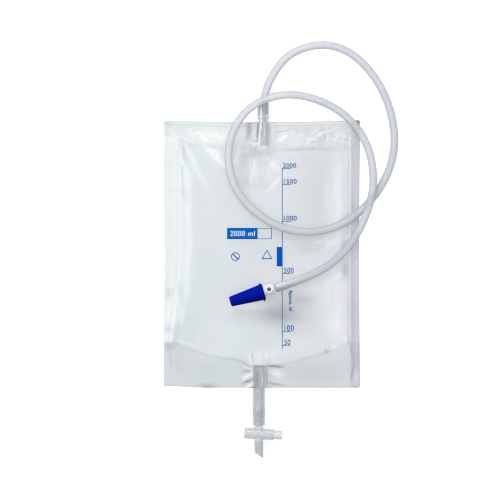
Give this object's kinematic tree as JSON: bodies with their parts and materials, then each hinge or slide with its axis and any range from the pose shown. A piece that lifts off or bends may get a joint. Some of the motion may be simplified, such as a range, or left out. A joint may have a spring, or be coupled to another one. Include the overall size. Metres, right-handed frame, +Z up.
{
  "type": "urine drainage bag",
  "caption": "Clear film drainage bag lying flat, with a looped inlet tube, capped catheter connector, volume scale and push-pull outlet tap.",
  "frame": {"origin": "centre of the bag's outline, on the underside of the back film that lies on the table", "axes": "+X across the bag to the scale's ticks, +Y along the bag towards the inlet port, +Z up out of the front film"},
  "size_m": [0.2395, 0.426, 0.0234],
  "materials": {
    "film": "soft clear film, slightly milky",
    "valve_film": "thin soft film",
    "clear_moulding": "clear to milky moulding",
    "soft_tube": "soft clear tube",
    "white_moulding": "white moulding",
    "blue_moulding": "blue moulding",
    "rubber": "matt rubber",
    "seal_rubber": "pale silicone rubber",
    "blue_ink": "printed ink"
  },
  "bodies": {
    "bag": {"front_film": "film", "back_film": "film", "check_valve_front": "valve_film", "check_valve_back": "valve_film", "inlet_port": "clear_moulding", "inlet_tube": "soft_tube", "catheter_connector": "white_moulding", "sampling_septum": "rubber", "outlet_tube": "soft_tube", "tap_body": "clear_moulding", "print_scale": "blue_ink", "print_panel": "blue_ink", "print_ring": "blue_ink", "print_triangle": "blue_ink"},
    "cap": {"protective_cap": "blue_moulding"},
    "plunger": {"tap_plunger": "white_moulding", "plunger_seal_1": "seal_rubber", "plunger_seal_2": "seal_rubber", "plunger_seal_3": "seal_rubber"}
  },
  "joints": [
    {"name": "cap_pull", "type": "slide", "parent": "bag", "child": "cap", "axis": [-0.9573, -0.289, 0], "range_m": [0, 0.032]},
    {"name": "plunger_push", "type": "slide", "parent": "bag", "child": "plunger", "axis": [-0.9981, 0.061, 0], "range_m": [0, 0.0089]}
  ]
}
